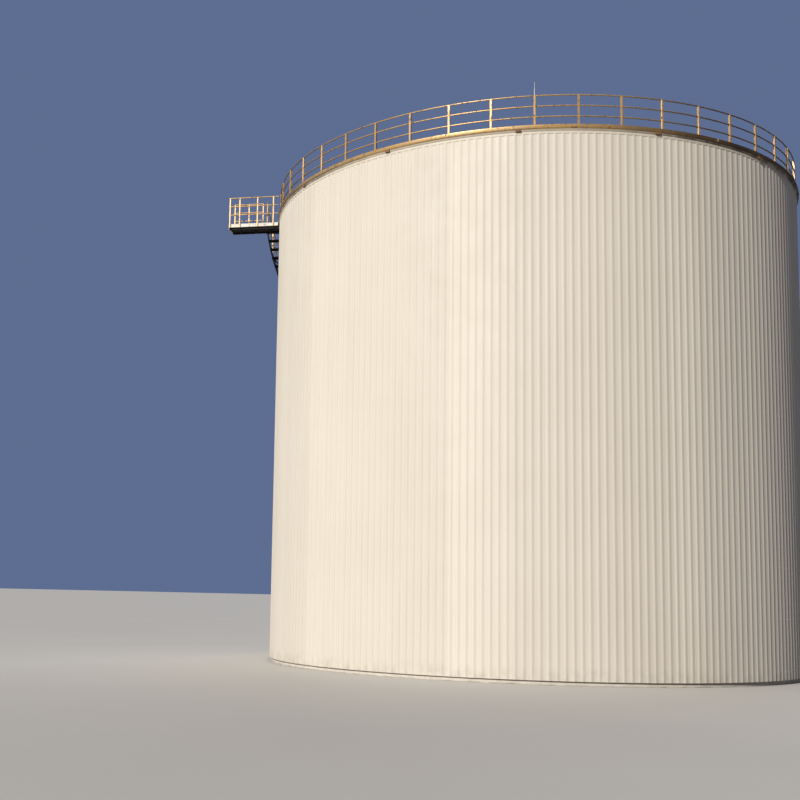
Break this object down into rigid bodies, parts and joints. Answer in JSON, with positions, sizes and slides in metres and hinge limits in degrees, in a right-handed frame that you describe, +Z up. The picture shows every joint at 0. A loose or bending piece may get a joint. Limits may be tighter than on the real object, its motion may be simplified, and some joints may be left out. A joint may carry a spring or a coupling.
{
  "type": "vertical storage tank",
  "caption": "Upright cylindrical storage tank with ribbed cladding, cone roof, guard rail, rim walkway and a stair that follows the wall.",
  "frame": {"origin": "on the tank's axis, at ground level, in the underside of the plinth", "axes": "+Z up; +X to the right and +Y away as the picture's camera stands; the walkway leaves towards -X"},
  "size_m": [19.7823, 18.3777, 17.5806],
  "materials": {
    "cladding": "satin cream coil coating on trapezoidal sheet",
    "concrete": "rough cast concrete",
    "golden_paint": "semi-gloss golden yellow paint",
    "white_paint": "semi-gloss off-white paint",
    "dark_steel": "matt dark grey paint on steel and grating",
    "roofing": "weathered light grey standing-seam sheet",
    "steel": "dull bare steel"
  },
  "bodies": {
    "root": {"foundation_plinth": "concrete", "tank_floor": "steel", "base_flashing": "dark_steel", "wall_segment_1": "cladding", "wall_segment_2": "cladding", "wall_segment_3": "cladding", "wall_segment_4": "cladding", "wall_segment_5": "cladding", "wall_segment_6": "cladding", "wall_segment_7": "cladding", "wall_segment_8": "cladding", "roof_cone": "roofing", "roof_vent": "steel", "roof_manhole": "steel", "rim_section_1": "golden_paint", "rim_section_2": "golden_paint", "rim_section_3": "golden_paint", "rim_section_4": "golden_paint", "rim_section_5": "golden_paint", "rim_section_6": "golden_paint", "rim_section_7": "golden_paint", "rim_section_8": "golden_paint", "rim_section_9": "golden_paint", "guard_rail_1": "golden_paint", "guard_rail_2": "golden_paint", "guard_rail_3": "golden_paint", "guard_rail_4": "golden_paint", "guard_rail_5": "golden_paint", "guard_rail_6": "golden_paint", "guard_rail_7": "golden_paint", "guard_rail_8": "golden_paint", "guard_rail_9": "golden_paint", "lightning_rod": "white_paint", "walkway": "white_paint", "walkway_rail_near": "golden_paint", "walkway_rail_far": "golden_paint", "stair_flight_lower": "dark_steel", "stair_flight_middle": "dark_steel", "stair_flight_upper": "dark_steel", "stair_rail_lower": "golden_paint", "stair_rail_middle": "golden_paint", "stair_rail_upper": "golden_paint", "landing_lower": "dark_steel", "landing_upper": "dark_steel", "shell_manway": "steel"}
  },
  "joints": []
}
